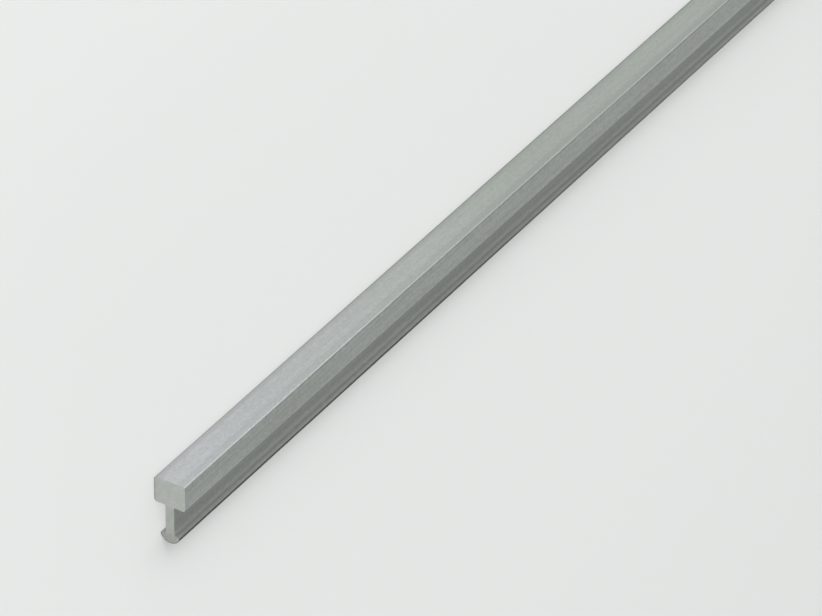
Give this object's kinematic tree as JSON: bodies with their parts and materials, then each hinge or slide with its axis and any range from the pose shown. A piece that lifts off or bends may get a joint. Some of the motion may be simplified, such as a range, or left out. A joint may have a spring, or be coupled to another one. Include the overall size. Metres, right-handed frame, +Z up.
{
  "type": "aluminium extrusion profile",
  "caption": "Straight aluminium bar with one section all along it: a rectangular head, a thin web and a half-round foot with two small hooking lips.",
  "frame": {"origin": "under the middle of the bar, on the surface that it lies on", "axes": "+X along the bar, +Z up, -Y roughly the way that the head's broad face looks; the section's own middle plane leans 10.1 degrees from level"},
  "size_m": [1, 0.0126, 0.0066],
  "materials": {
    "mill_aluminium": "mill finish, satin with faint die lines along the bar, sawn ends"
  },
  "bodies": {
    "root": {"profile_bar": "mill_aluminium"}
  },
  "joints": []
}
